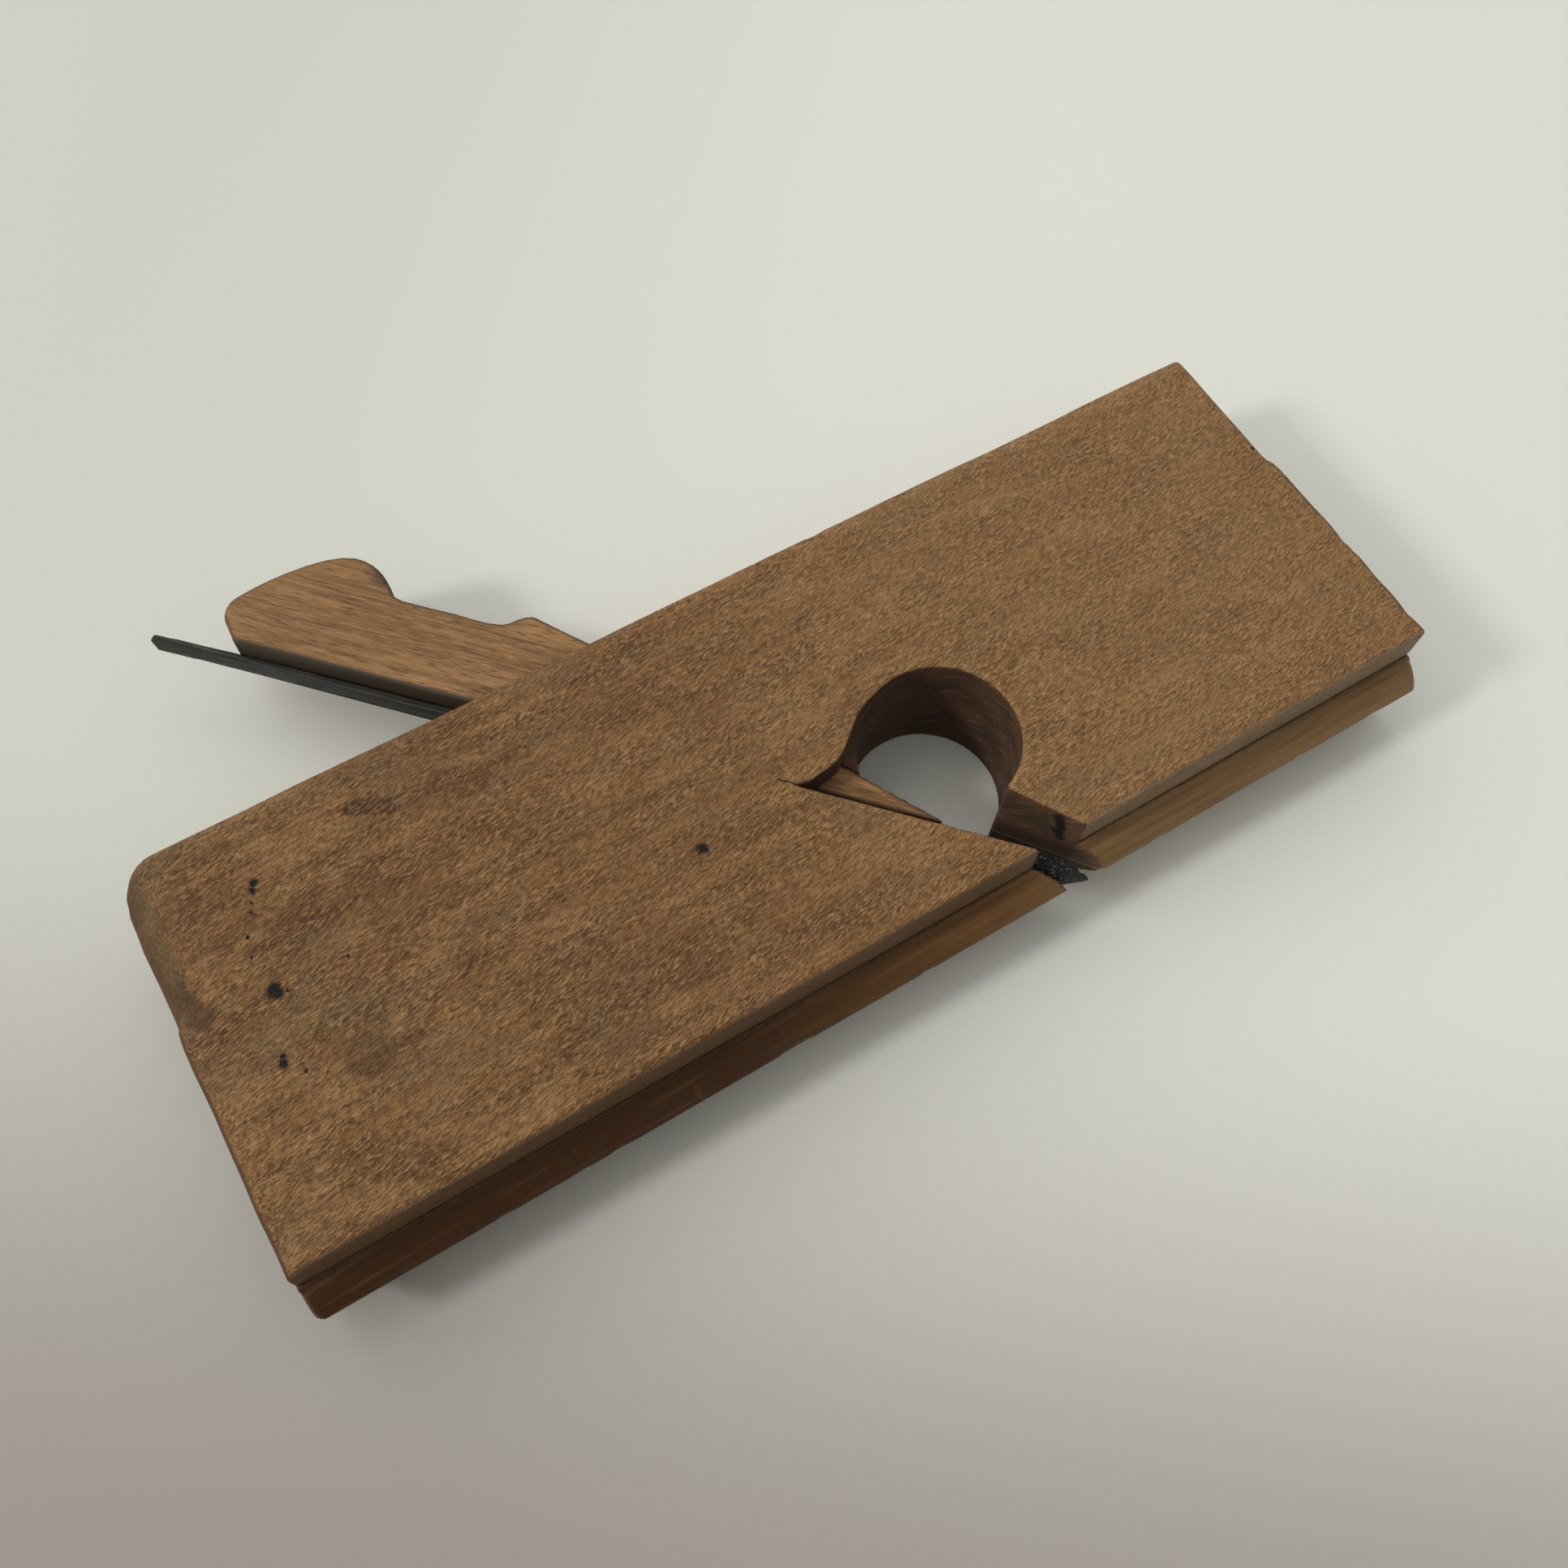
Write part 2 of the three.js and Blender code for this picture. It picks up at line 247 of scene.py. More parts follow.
def on_bed(up, above):
    """X and Y of a point, from its distance up the bed from the sole line and its height above the bed."""
    return (MOUTH_BACK - up * math.cos(BED_ANGLE) + above * math.sin(BED_ANGLE),
            SOLE + up * math.sin(BED_ANGLE) + above * math.cos(BED_ANGLE))


def from_bed(up, above, across):
    """Points of the frame, from arrays in the bed's own measures."""
    x, y = on_bed(0, 0)
    return np.stack([x - up * math.cos(BED_ANGLE) + above * math.sin(BED_ANGLE),
                     y + up * math.sin(BED_ANGLE) + above * math.cos(BED_ANGLE),
                     across + MIDDLE], 1)


def on_front(height):
    return MOUTH_FRONT - height / math.tan(FRONT_ANGLE), SOLE + height


def wedge_top(up):
    return WEDGE_AT_TOP - (TOP_REACH - up) * WEDGE_TAPER


def iron_top(up):
    edge_up = -RIDGE_DROP / math.sin(BED_ANGLE)
    return IRON_AT_EDGE + (up - edge_up) * (IRON_AT_END - IRON_AT_EDGE) / (IRON_END - edge_up)


# ---- Stock ----

HEEL_CORNER, TOE_CORNER = 9, 1.2
CHAMFER_STOP = 6.5
STOCK_CHIPS_SEED, LONG_EDGE_CHIPS, END_EDGE_CHIPS = 5, 46, 9


def opening(x, y, z):
    """Everything cut out of the stock: escapement, throat, mouth, the right cheek's rim and the mortise."""
    below = -(RIDGE_DROP + 6)
    cheek = on_bed(CHEEK_HEIGHT / math.sin(BED_ANGLE), 0)
    throat = outline([on_bed(below / math.sin(BED_ANGLE), 0), on_front(below), on_front(FRONT_HEIGHT),
                      (BORE_X, BORE_Y), (BORE_X - BORE_R + 1, BORE_Y + BORE_R / 4),
                      (cheek[0] + BORE_R / 3, cheek[1] + 1.5), cheek], x, y)
    bore = np.hypot(x - BORE_X, y - BORE_Y) - BORE_R
    rim = [(rx, SOLE + height) for rx, height in CHEEK_RIM]
    tail = outline(rim + [on_bed(SAW_CUT_FROM + 2, 0.25), on_bed(SAW_CUT_FROM + 2.6, 0), on_bed(42, 0),
                          (BORE_X - BORE_R * 0.65, BORE_Y)], x, y)
    start, end = TIP_REACH + 7, TOP_REACH + 40
    slot = outline([on_bed(start, 0), on_bed(start, wedge_top(start) + GAP),
                    on_bed(end, wedge_top(end) + GAP), on_bed(end, 0)], x, y)
    through = np.minimum(bore, throat)
    cheek_cut = np.maximum(tail, MORTISE_HIGH - 1 - z)
    mortise = np.maximum(slot, np.abs(z - WEDGE_MIDDLE) - WEDGE_HALF - GAP)
    return np.minimum(np.minimum(through, cheek_cut), mortise)


def faces(x, y, z):
    """Distances from the stock's outer planes: heel, toe, top, right and left."""
    return (-HALF_LENGTH - x + wander(y, 9, 0.12, 11) + wander(z, 6, 0.1, 12) + 0.25,
            x - HALF_LENGTH + wander(y, 5, 0.3, 13) + 0.3,
            y - TOP + wander(x, 30, 0.12, 14) + 0.15,
            z - THICK + 0 * x,
            -z + 0 * x)


def stock_field(xs, ys, zs):
    x, y, z = xs[:, None, None], ys[None, :, None], zs[None, None, :]
    heel, toe, top, right, left = faces(x, y, z)
    across = np.abs(z - MIDDLE)
    ridge = arch(RIDGE_DROP, RIDGE_HALF, y - SOLE, z - MIDDLE, 0.3)
    quirk = np.hypot(y - SOLE, across - RIDGE_HALF) - 0.38
    low = np.maximum(np.minimum(SOLE - y, ridge), -quirk)
    near_wear = 0.8 + wander(x, 7, 0.35, 21) + wander(x, 2.2, 0.2, 22)
    end = rounded(low, right, near_wear)
    end = rounded(end, left, 0.7 + wander(x, 9, 0.3, 23))
    for side, edge in ((1, right), (-1, left)):
        worn = wander(x, 12, 0.25, 24 + side)
        chamfer = slope(y, side * (z - MIDDLE), (TOP, MIDDLE - 1.6 - worn), (1.6, 2.5))
        end = rounded(end, chamfer, 0.8)
    end = rounded(end, top, 0.5)
    corner = np.where(y < SOLE - 1, 1.9, 0.5)
    solid = rounded(rounded(end, heel, np.where(y > TOP - 12, HEEL_CORNER, corner)), toe,
                    np.where(y > TOP - 5, TOE_CORNER, corner * 0.7))
    stop = np.clip((y - CHAMFER_STOP) / 3, 0, 1)
    for side in (1, -1):
        outward = side * (z - MIDDLE)
        deeper = np.interp(y, (CHAMFER_STOP, TOP), (0.8, -0.6))
        heel_cut = slope(-x, outward, (HALF_LENGTH, MIDDLE - 4.5 - deeper), (4.5, 5.5)) - 2.8 * (1 - stop)
        heel_cut = heel_cut + wander(y, 7, 0.15, 29)
        toe_stop = np.clip((y - CHAMFER_STOP) / 1.4, 0, 1)
        toe_cut = slope(x, outward, (HALF_LENGTH, MIDDLE - 2.4), (2.4, 2)) - 1.7 * (1 - toe_stop)
        solid = rounded(rounded(solid, heel_cut, 2.2), toe_cut, 0.5)
    solid = rounded(solid, -opening(x, y, z), 0.25)
    axes = (xs, ys, zs)
    chipped_edges = [(SOLE, THICK), (TOP - 1, THICK - 1), (SOLE, 0), (SOLE - RIDGE_DROP, MIDDLE)]
    rng = np.random.default_rng(STOCK_CHIPS_SEED)
    for _ in range(LONG_EDGE_CHIPS):
        at = rng.uniform(-HALF_LENGTH, HALF_LENGTH)
        size = rng.uniform(0.35, 0.8)
        edge_y, edge_z = chipped_edges[rng.integers(len(chipped_edges))]
        chip(solid, axes, (at, edge_y, edge_z), (size * rng.uniform(1, 3), size, size))
    for end_x in (-HALF_LENGTH, HALF_LENGTH):
        for _ in range(END_EDGE_CHIPS):
            size = rng.uniform(0.4, 0.9)
            chip(solid, axes, (end_x, rng.uniform(SOLE, TOP), THICK), (size, size * 1.6, size))
    return solid


def stock(material):
    xs = spaced((-HALF_LENGTH - 1, -112, 0.5), (-112, -54, 1.7), (-54, -16, 1.2), (-16, -9, 0.6),
                (-9, -2, 0.33), (-2, 40, 0.6), (40, 112, 1.7), (112, HALF_LENGTH + 1, 0.5))
    ys = spaced((SOLE - RIDGE_DROP - 1, -38.5, 0.4), (-38.5, -29, 0.8), (-29, -8, 0.7), (-8, -3, 0.38),
                (-3, 5, 0.55), (5, 35, 2.15), (35, TOP + 1, 0.5))
    zs = spaced((-1, 3, 0.5), (3, 7.5, 0.9), (7.5, 21, 0.62), (21, 25.5, 0.95), (25.5, THICK + 1, 0.45))
    points, quads = surface(stock_field(xs, ys, zs), xs, ys, zs)
    x, y, z = points.T
    opened = np.abs(opening(x, y, z))
    off_face = np.minimum(np.minimum(THICK - z, z), TOP - y)
    cut = (1 - opened / 0.7) * np.clip((off_face - 0.12) / 0.3, 0, 1)
    rim = np.exp(-(opened / 1.1) ** 2) * (off_face < 0.4)
    walls = np.sort(np.abs(np.stack(faces(x, y, z))), 0)
    edge = np.exp(-(walls[1] / 0.9) ** 2)
    heel = np.clip((-HALF_LENGTH + 6.2 - x) / 1.6, 0, 1) * np.clip((y - CHAMFER_STOP + 1) / 2, 0, 1)
    ridge = (SOLE - y) / 0.5
    shoulder = 1 - np.abs(y - SOLE) / 0.6
    quirk = 1 - np.hypot(y - SOLE, np.abs(z - MIDDLE) - RIDGE_HALF) / 0.85
    masks = {"cut": cut * 2, "rim": rim, "edge": edge, "ridge": ridge, "shoulder": shoulder * 2,
             "quirk": quirk, "heel": heel}
    return piece("stock", points, quads, masks, material, "stock")


# ---- Wedge ----

WEDGE_CHIPS_SEED, WEDGE_CHIPS = 8, 30


def curve(start, *ends, steps=7):
    """Points on a Bezier curve from start: one or two control points, then its end."""
    points = [np.array(start, float), *(np.array(p, float) for p in ends)]
    degree = len(points) - 1
    found = []
    for t in np.linspace(0, 1, steps + 1)[1:]:
        weights = [math.comb(degree, k) * t ** k * (1 - t) ** (degree - k) for k in range(degree + 1)]
        found.append(tuple(sum(w * p for w, p in zip(weights, points))))
    return found


def wedge_outline():
    """The wedge's side view, as distance up the bed and height above it."""
    def low(up):
        return iron_top(up) + GAP
    points = [(TIP_REACH, low(TIP_REACH)), (TIP_REACH + 1, low(TIP_REACH) + 0.6),
              (BEVEL_REACH, wedge_top(BEVEL_REACH)), (105.5, wedge_top(105.5))]
    points += curve(points[-1], (107.7, wedge_top(105.5) + 0.9), (110.7, 21.9))
    points += curve(points[-1], (112, 20.5), (116, 20.5))
    points += [(122, 20.6), (131, 20.5)]
    points += curve(points[-1], (134.8, 20.3), (135.4, 21.6))
    points += curve(points[-1], (137.7, 24.3), (140.6, 27.4), (145.5, 27.4))
    points += curve(points[-1], (151.5, 27.2), (160.9, 17.8), (165.2, 11.5))
    points += curve(points[-1], (166.4, 8.9), (165, 6.5))
    return points + [(161, low(161))]


def wedge(material):
    us = spaced((TIP_REACH - 1, 45, 0.6), (45, 100, 1), (100, 168, 0.55))
    vs = spaced((1, 5, 0.4), (5, 19, 0.8), (19, 29, 0.5))
    ws = spaced((-WEDGE_HALF - 0.8, -4.4, 0.35), (-4.4, 4.4, 1), (4.4, WEDGE_HALF + 0.8, 0.35))
    u, v, w = us[:, None, None], vs[None, :, None], ws[None, None, :]
    side = outline(wedge_outline(), u, v)
    wear = np.interp(u, (90, 108, 132, 150, 166), (0.3, 0.45, 0.6, 0.9, 1.2)) + wander(u, 4, 0.15, 31)
    field = rounded(side + 0.05, np.abs(w) - WEDGE_HALF + wander(u, 20, 0.05, 32) + 0.05, wear)
    axes = (us, vs, ws)
    rng = np.random.default_rng(WEDGE_CHIPS_SEED)
    for _ in range(WEDGE_CHIPS):
        t = rng.uniform(134, 142)
        size = rng.uniform(0.5, 1.2)
        chip(field, axes, (t, np.interp(t, (134, 136, 139, 142), (20.8, 22.6, 25.9, 27.2)),
                           rng.choice((-1, 0.2, 1)) * WEDGE_HALF), (size, size, size * 1.4))
    points, quads = surface(field, us, vs, ws)
    away = np.abs(outline(wedge_outline(), points[:, 0], points[:, 1]))
    flat = WEDGE_HALF - np.abs(points[:, 2])
    edge = np.exp(-(np.maximum(away, flat) / 1.1) ** 2)
    head = np.exp(-(np.minimum(away, 9) / 1.6) ** 2) * (points[:, 0] > 105)
    notch = np.exp(-(np.hypot(points[:, 0] - 138, points[:, 1] - 25.2) / 4.4) ** 2)
    under = np.exp(-((points[:, 1] - iron_top(points[:, 0]) - GAP) / 0.9) ** 2) * (points[:, 0] > 60)
    masks = {"edge": edge, "head": head, "notch": notch, "under": under}
    points[:, 2] += WEDGE_MIDDLE - MIDDLE
    return piece("wedge", from_bed(*points.T), quads, masks, material, "wedge")


# ---- Iron ----

def iron(material):
    us = spaced((-13, 14, 0.4), (14, 33, 1), (33, 45, 0.5), (45, 172, 1.2), (172, 180, 0.4))
    vs = spaced((-0.9, 4, 0.25))
    ws = spaced((-BLADE_HALF - 0.7, -6.5, 0.35), (-6.5, 6.5, 0.4), (6.5, BLADE_HALF + 0.7, 0.35))
    u, v, w = us[:, None, None], vs[None, :, None], ws[None, None, :]
    bent = -0.45 * np.clip((u - 150) / 29, 0, 1) ** 2
    height = u * math.sin(BED_ANGLE) + IRON_AT_EDGE * math.cos(BED_ANGLE)
    plan = outline([(-15, -BLADE_HALF), (SHOULDER_LOW, -BLADE_HALF), (SHOULDER_HIGH, TANG_LOW),
                    (IRON_END - 0.3, TANG_LOW + 0.4), (IRON_END, TANG_HIGH - 1), (IRON_END - 0.8, TANG_HIGH),
                    (SHOULDER_HIGH, TANG_HIGH), (SHOULDER_LOW, BLADE_HALF), (-15, BLADE_HALF)], u, w)
    edge_shape = arch(RIDGE_DROP + EDGE_PROUD, ARCH_HALF, height, w, 0.1)
    edge_shape = np.minimum(edge_shape, 1.5 - height)
    top_face = v - iron_top(u) - bent
    ground = (edge_shape + (iron_top(u) - v) * math.sin(BED_ANGLE) / EDGE_BEVEL) * math.cos(BED_ANGLE)
    ground = np.where(u > 30, -5, ground)
    rough = wander(u, 1.7, 0.04, 41) + wander(w, 1.3, 0.04, 42) + wander(u + 3 * w, 2.6, 0.04, 43)
    field = rounded(plan + wander(u, 6, 0.12, 44) + 0.05, top_face + rough + 0.05, 0.25)
    field = rounded(field, GAP - v + bent, 0.15)
    field = rounded(field, ground, 0.1)
    points, quads = surface(field, us, vs, ws)
    near_edge = 1 - points[:, 0] / 8
    worn = np.exp(-((np.abs(np.abs(points[:, 2]) - 2.5) + 0.3) / 0.5) ** 2)
    return piece("iron", from_bed(*points.T), quads, {"ground": near_edge, "edge": worn}, material, "iron")


# ---- Shader helpers ----

class Shader:
    """A material whose nodes are added one line at a time."""

    def __init__(self, name):
        self.material = bpy.data.materials.new(name)
        self.material.use_nodes = True
        self.tree = self.material.node_tree
        self.surface = self.tree.nodes["Principled BSDF"]
        place = self.add("ShaderNodeTexCoord")
        self.normal = place.outputs["Normal"]
        self.place = self.vector("SCALE", {0: place.outputs["Object"], "Scale": 1 / MM})

    def add(self, kind, inputs=None, **settings):
        node = self.tree.nodes.new(kind)
        for name, value in settings.items():
            setattr(node, name, value)
        for key, value in (inputs or {}).items():
            self.put(node.inputs[key], value)
        return node

    def put(self, socket, value):
        if isinstance(value, bpy.types.NodeSocket):
            self.tree.links.new(value, socket)
        else:
            socket.default_value = value

    def math(self, operation, a, b=0.0, clamp=False):
        return self.add("ShaderNodeMath", {0: a, 1: b}, operation=operation, use_clamp=clamp).outputs[0]

    def vector(self, operation, inputs):
        return self.add("ShaderNodeVectorMath", inputs, operation=operation).outputs[0]

    def mask(self, name):
        return self.add("ShaderNodeAttribute", attribute_name=name).outputs["Fac"]

    def between(self, value, low, high, to_low=0.0, to_high=1.0):
        inputs = {"Value": value, "From Min": low, "From Max": high, "To Min": to_low, "To Max": to_high}
        return self.add("ShaderNodeMapRange", inputs, interpolation_type="SMOOTHSTEP").outputs["Result"]

    def mix(self, share, a, b, blend="MIX"):
        node = self.add("ShaderNodeMix", data_type="RGBA", blend_type=blend)
        for key, value in ((0, share), (6, a), (7, b)):
            if key > 0 and isinstance(value, tuple):
                value = (*value, 1)
            self.put(node.inputs[key], value)
        return node.outputs[2]

    def turned(self, vector, degrees):
        inputs = {"Vector": vector, "Rotation": (0, 0, math.radians(degrees))}
        return self.add("ShaderNodeMapping", inputs).outputs["Vector"]

    def noise(self, size, detail=2.0, rough=0.5, at=None, shift=0.0):
        """Noise whose features are about size millimetres along X, Y and Z."""
        where = self.add("ShaderNodeMapping", {"Vector": at or self.place, "Location": (shift, shift, shift),
                                               "Scale": tuple(1 / s for s in size)})
        inputs = {"Vector": where.outputs[0], "Scale": 1.0, "Detail": detail, "Roughness": rough}
        return self.add("ShaderNodeTexNoise", inputs).outputs["Fac"]

    def warped(self, size, strength):
        """The place, pushed about by up to half of strength, in swirls about size millimetres wide."""
        where = self.add("ShaderNodeMapping", {"Vector": self.place, "Scale": (1 / size,) * 3})
        inputs = {"Vector": where.outputs[0], "Scale": 1.0, "Detail": 2.0}
        noise = self.add("ShaderNodeTexNoise", inputs).outputs["Color"]
        centred = self.vector("SUBTRACT", {0: noise, 1: (0.5, 0.5, 0.5)})
        moved = self.vector("SCALE", {0: centred, "Scale": strength})
        return self.vector("ADD", {0: self.place, 1: moved})

    def near(self, parts, axes, start, end, radius):
        """1 within half a radius of the line from start to end, falling to 0 by 1.3 radii.

        The line is seen along the axis that axes leaves out.
        """
        ways = [e - a for a, e in zip(start, end)]
        length = sum(w * w for w in ways) or 1
        offsets = [self.math("SUBTRACT", parts.outputs[axis], a) for axis, a in zip(axes, start)]
        along = self.math("MULTIPLY", offsets[0], ways[0] / length)
        along = self.math("ADD", along, self.math("MULTIPLY", offsets[1], ways[1] / length), True)
        squares = []
        for offset, way in zip(offsets, ways):
            left = self.math("SUBTRACT", offset, self.math("MULTIPLY", along, way))
            squares.append(self.math("MULTIPLY", left, left))
        away = self.math("SQRT", self.math("ADD", *squares))
        return self.between(away, radius * 0.5, radius * 1.3, 1.0, 0.0)

    def finish(self, colour, roughness, height, depth, **plain):
        bump = self.add("ShaderNodeBump", {"Height": height, "Distance": depth * MM, "Strength": 1.0})
        self.put(self.surface.inputs["Base Color"], colour)
        self.put(self.surface.inputs["Roughness"], roughness)
        self.put(self.surface.inputs["Normal"], bump.outputs[0])
        for name, value in plain.items():
            self.surface.inputs[name.replace("_", " ")].default_value = value
        return self.material


# ---- Materials ----

FACE_LIGHT = (0.268, 0.144, 0.058)
FACE_MID = (0.200, 0.095, 0.031)
FACE_DARK = (0.110, 0.048, 0.015)
GREYED = (0.135, 0.083, 0.038)
# Pale for flecks, and for a painted highlight.
FLECK_AND_HIGHLIGHT_PALE = (0.388, 0.217, 0.090)
# Dark for pores, scuffs, stains and grime, and for painted shade.
MARK_AND_SHADE_DARK = (0.052, 0.023, 0.009)
# Near-black for ink, and for painted shade in the saw cut.
INK_AND_SHADE = (0.008, 0.006, 0.005)
CUT_DARK = (0.068, 0.040, 0.021)
CUT_RED = (0.112, 0.053, 0.031)
CUT_SCRATCH = (0.310, 0.200, 0.124)
RIDGE_BROWN = (0.160, 0.074, 0.019)
RIDGE_DARK = (0.050, 0.018, 0.003)
SHOULDER_BROWN = (0.158, 0.088, 0.044)
SHOULDER_GREY = (0.290, 0.200, 0.118)
RIDGE_PALE = (0.240, 0.141, 0.056)
QUIRK_SHADE = (0.022, 0.011, 0.006)
END_BROWN = (0.105, 0.052, 0.021)
OLIVE = (0.118, 0.075, 0.031)

WEDGE_MID = (0.190, 0.095, 0.035)
WEDGE_LIGHT = (0.285, 0.153, 0.064)
WEDGE_BAND = (0.130, 0.062, 0.023)
WEDGE_GRAIN = (0.125, 0.058, 0.021)
WEDGE_PORE = (0.075, 0.032, 0.012)
WEDGE_FLECK = (0.400, 0.232, 0.105)
WEDGE_EDGE = (0.050, 0.024, 0.010)
WEDGE_HEAD = (0.10, 0.055, 0.026)
WEDGE_NOTCH = (0.050, 0.032, 0.018)
WEDGE_UNDER_STAIN_AND_SHADE = (0.040, 0.034, 0.022)

IRON_BLACK = (0.008, 0.0075, 0.007)
IRON_GREY = (0.038, 0.0365, 0.032)
IRON_BROWN = (0.070, 0.052, 0.036)
IRON_GROUND = (0.009, 0.009, 0.010)
IRON_SPECKLE = (0.24, 0.24, 0.25)

FLECK_SIZE = (1.6, 0.36, 0.38)
PORE_SIZE = (1.5, 0.34, 0.38)
FLECK_LEAN = -17                     # degrees from the grain, on the right face

# Ink spots on the right face: X, Y and radius.
SPOTS = [(-102.8, 4.9, 1.5), (-102.4, 3.9, 1.2), (-106.4, -7.9, 1.1), (-106.0, -6.6, 0.6),
         (-98.1, 25.0, 0.9), (-98.9, 23.6, 0.85), (-99.9, 21.4, 0.45), (-100.6, 19.9, 0.4),
         (-102.9, 16.0, 0.4), (-103.9, 12.2, 0.35), (-26.2, -9.2, 1.3), (-89.4, 4.2, 0.4),
         (-103.7, -11.0, 0.35), (-100.5, -13.0, 0.3), (118.2, 12.3, 0.5), (-100.7, 3.6, 0.4)]
SMUDGE = (-77.8, 29.6), (-71.4, 27.0)
HEEL_STAIN = (-118.2, 12.6), (-115.6, 6.6)
BLOTCH = (-93.5, -13.8)
WALL_DARK_MARK = (-36.4, 27.0), (-37.3, 19.6)      # on the throat's front wall: Y and Z


def stock_wood():
    s = Shader("stock_beech")
    parts = s.add("ShaderNodeSeparateXYZ", {0: s.place})
    x, y, z = parts.outputs
    patches = s.noise((60, 13, 16), detail=4.0, rough=0.6)
    bands = s.noise((55, 2.6, 4), detail=3.0, rough=0.6, shift=61)
    dirt = s.noise((13, 8, 11), detail=6.0, rough=0.65, shift=31)
    grain = s.noise((26, 0.55, 0.55), detail=4.0, rough=0.6, shift=7)
    swirl = s.warped(10, 1.5)
    leaning = s.turned(swirl, FLECK_LEAN)
    flecks = s.noise(FLECK_SIZE, detail=4.0, rough=0.62, at=leaning)
    pores = s.noise(PORE_SIZE, detail=4.0, rough=0.62, at=leaning, shift=50)
    # A copy of the flecks shifted a little: painted dark below as the painted shadow of each raised fleck.
    shadows = s.noise(FLECK_SIZE, detail=4.0, rough=0.62, at=leaning, shift=0.15)
    fleck = s.between(flecks, 0.5, 0.59)
    pore = s.between(pores, 0.52, 0.61)
    shadow = s.math("MULTIPLY", s.between(shadows, 0.5, 0.59), s.math("SUBTRACT", 1.0, fleck))
    worn = s.between(s.noise((24, 5, 7), detail=4.0, rough=0.6, shift=88), 0.36, 0.60, 0.38, 1.0)

    toe_half = s.between(x, -60, 90)
    colour = s.mix(s.between(patches, 0.34, 0.62), FACE_DARK, FACE_MID)
    colour = s.mix(s.between(dirt, 0.40, 0.66), colour, FACE_LIGHT)
    band = s.math("MULTIPLY", s.between(bands, 0.46, 0.64), s.between(toe_half, 0, 1, 0.55, 0.28))
    colour = s.mix(band, colour, FACE_DARK)
    colour = s.mix(s.between(bands, 0.32, 0.46, 0.4, 0.0), colour, FACE_LIGHT)
    greyed = s.between(s.noise((20, 9, 12), detail=5.0, shift=77), 0.5, 0.66, 0.0, 0.7)
    colour = s.mix(greyed, colour, GREYED)
    # Painted light: the toe half is made paler, standing in for light that falls off toward the heel.
    colour = s.mix(s.math("MULTIPLY", toe_half, 0.60), colour, FACE_LIGHT)
    middle = s.between(x, -75, -45, 0.0, s.between(x, -20, 10, 0.22, 0.0))
    colour = s.mix(middle, colour, FACE_DARK)
    colour = s.mix(s.between(grain, 0.48, 0.72, 0.0, 0.4), colour, FACE_DARK)
    pore_share = s.math("MULTIPLY", worn, s.between(toe_half, 0, 1, 0.68, 0.46))
    # Painted shadow beside each fleck.
    colour = s.mix(s.math("MULTIPLY", shadow, s.math("MULTIPLY", worn, 0.74)), colour, MARK_AND_SHADE_DARK)
    colour = s.mix(s.math("MULTIPLY", pore, pore_share), colour, MARK_AND_SHADE_DARK)
    fleck_share = s.math("MULTIPLY", worn, s.between(toe_half, 0, 1, 0.62, 0.82))
    colour = s.mix(s.math("MULTIPLY", fleck, fleck_share), colour, FLECK_AND_HIGHLIGHT_PALE)
    # Painted highlight along the rounded rim of the opening.
    colour = s.mix(s.math("MULTIPLY", s.mask("rim"), 0.15), colour, FLECK_AND_HIGHLIGHT_PALE)

    heel = s.mask("heel")
    scuffs = s.noise((0.5, 6, 3), detail=3.0, rough=0.6, at=s.turned(swirl, -28), shift=33)
    heel_tone = s.mix(s.between(scuffs, 0.52, 0.72, 0.0, 0.55), OLIVE, FACE_LIGHT)
    heel_tone = s.mix(s.between(scuffs, 0.30, 0.44, 0.5, 0.0), heel_tone, MARK_AND_SHADE_DARK)
    colour = s.mix(s.math("MULTIPLY", heel, 0.75), colour, heel_tone)

    tail = s.between(x, 15, 45)
    shoulder_tone = s.mix(tail, SHOULDER_BROWN, SHOULDER_GREY)
    shoulder_tone = s.mix(s.between(grain, 0.45, 0.7, 0.0, 0.5), shoulder_tone, FACE_DARK)
    colour = s.mix(s.math("MULTIPLY", s.mask("shoulder"), 0.85, True), colour, shoulder_tone)
    streaks = s.noise((30, 1.7, 1.7), detail=4.0, shift=13)
    ridge_tone = s.mix(s.between(x, -45, 26), RIDGE_DARK, RIDGE_BROWN)
    ridge_tone = s.mix(s.math("MULTIPLY", tail, 0.75), ridge_tone, RIDGE_PALE)
    ridge_tone = s.mix(s.between(streaks, 0.40, 0.72, 0.0, 0.5), ridge_tone, RIDGE_DARK)
    ridge_tone = s.mix(s.between(streaks, 0.30, 0.46, 0.18, 0.0), ridge_tone, FACE_LIGHT)
    scrapes = s.noise((0.35, 7, 7), detail=2.0, shift=91)
    ridge_tone = s.mix(s.between(scrapes, 0.62, 0.76, 0.0, 0.15), ridge_tone, FACE_LIGHT)
    ridge = s.mask("ridge")
    colour = s.mix(ridge, colour, ridge_tone)

    facing = s.add("ShaderNodeSeparateXYZ", {0: s.normal})
    ends = s.between(s.math("ABSOLUTE", facing.outputs[0]), 0.55, 0.85)
    rays = s.noise((2, 3.2, 0.4), detail=3.0, shift=3)
    end_tone = s.mix(s.between(rays, 0.4, 0.65), END_BROWN, FACE_DARK)
    cut = s.mask("cut")
    colour = s.mix(s.math("MULTIPLY", ends, s.math("SUBTRACT", 1.0, cut, True)), colour, end_tone)

